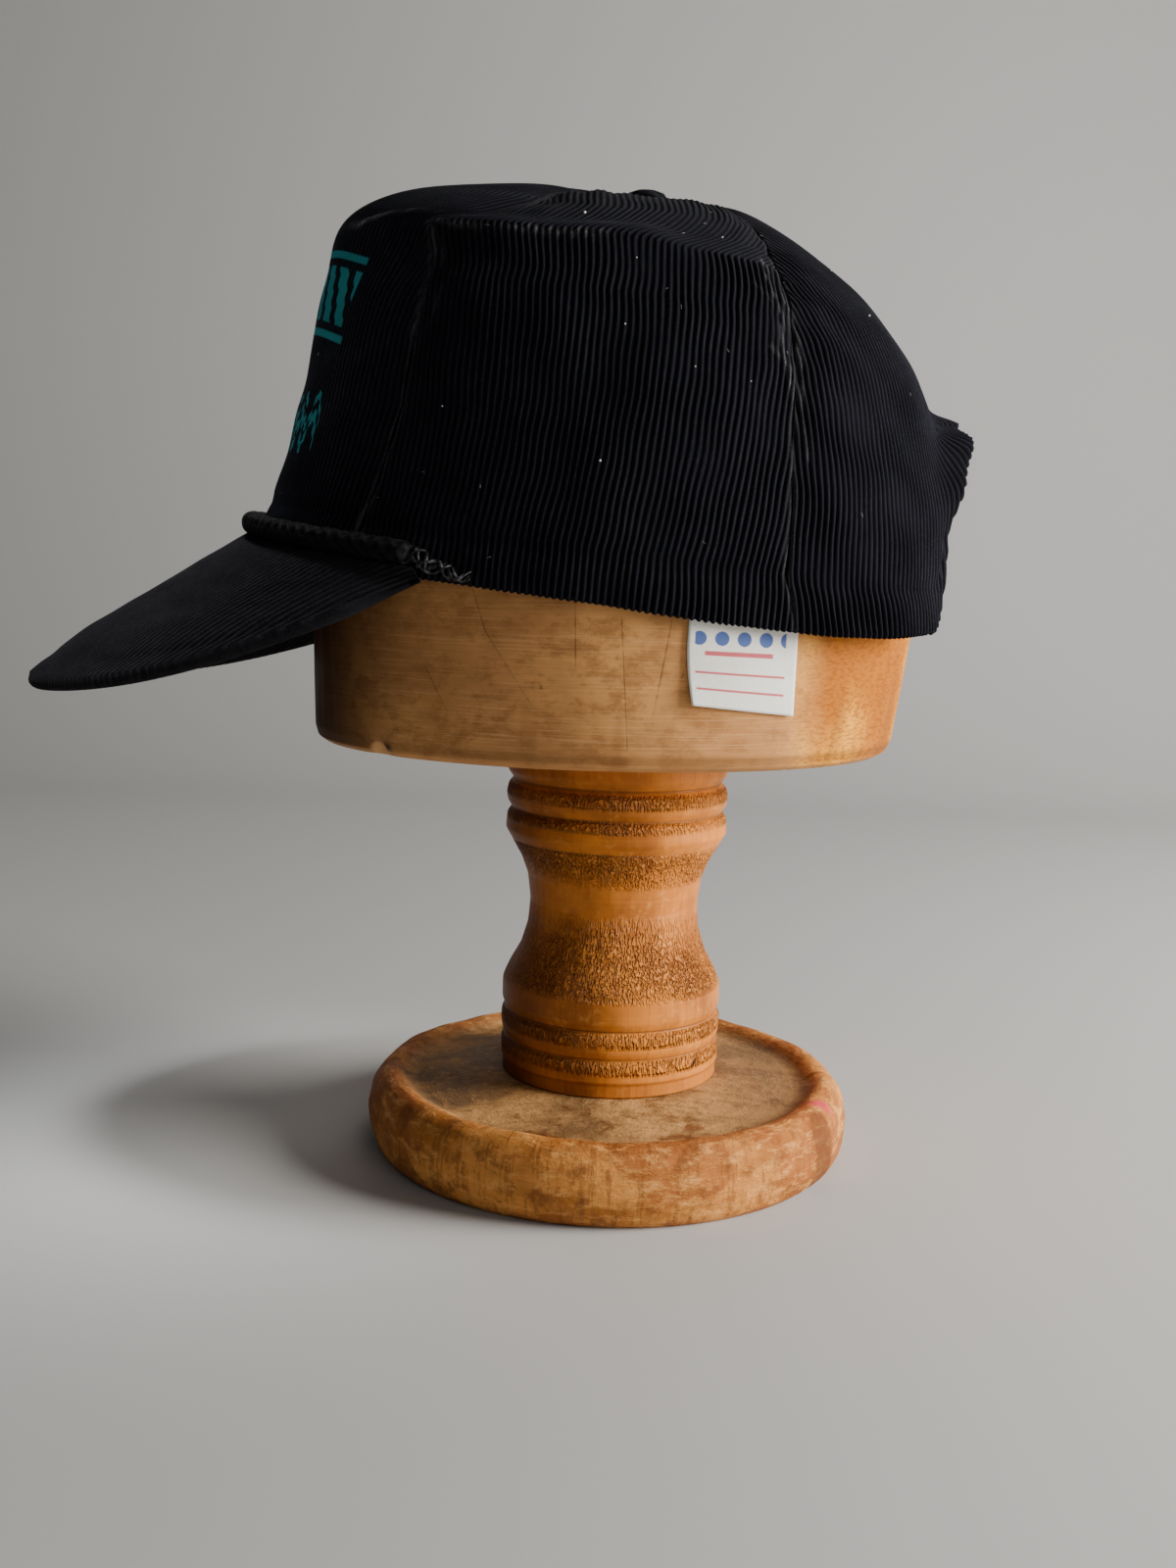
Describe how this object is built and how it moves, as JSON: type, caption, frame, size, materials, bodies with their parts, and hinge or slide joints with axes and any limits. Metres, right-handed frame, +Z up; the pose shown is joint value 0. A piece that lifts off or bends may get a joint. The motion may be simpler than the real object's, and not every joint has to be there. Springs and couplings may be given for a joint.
{
  "type": "corduroy trucker cap on a wooden hat stand",
  "caption": "Ribbed corduroy cap with a curved peak, a braided rope across its front and a rear opening with a strap, resting on a turned wooden stand with an oval block and a dished base.",
  "frame": {"origin": "on the stand's axis, at the underside of the base it stands on", "axes": "+Z up, -X towards the peak's tip, -Y towards the wearer's left side, where the label hangs"},
  "size_m": [0.2712, 0.1678, 0.2853],
  "materials": {
    "corduroy": "ribbed pile, matt with a soft sheen",
    "rope": "braided cord with a dull shine",
    "strap": "satin moulded plastic",
    "label": "woven satin tape",
    "block": "worn varnish over a light grain",
    "turned": "satin varnish over an orange brown grain",
    "base": "worn varnish with darker patches"
  },
  "bodies": {
    "root": {"front_panel": "corduroy", "left_side_panel": "corduroy", "right_side_panel": "corduroy", "left_back_panel": "corduroy", "right_back_panel": "corduroy", "top_button": "corduroy", "peak": "corduroy", "front_rope": "rope", "snap_strap": "strap", "sewn_label": "label", "hat_block": "block", "stand_post": "turned", "stand_base": "base"}
  },
  "joints": []
}
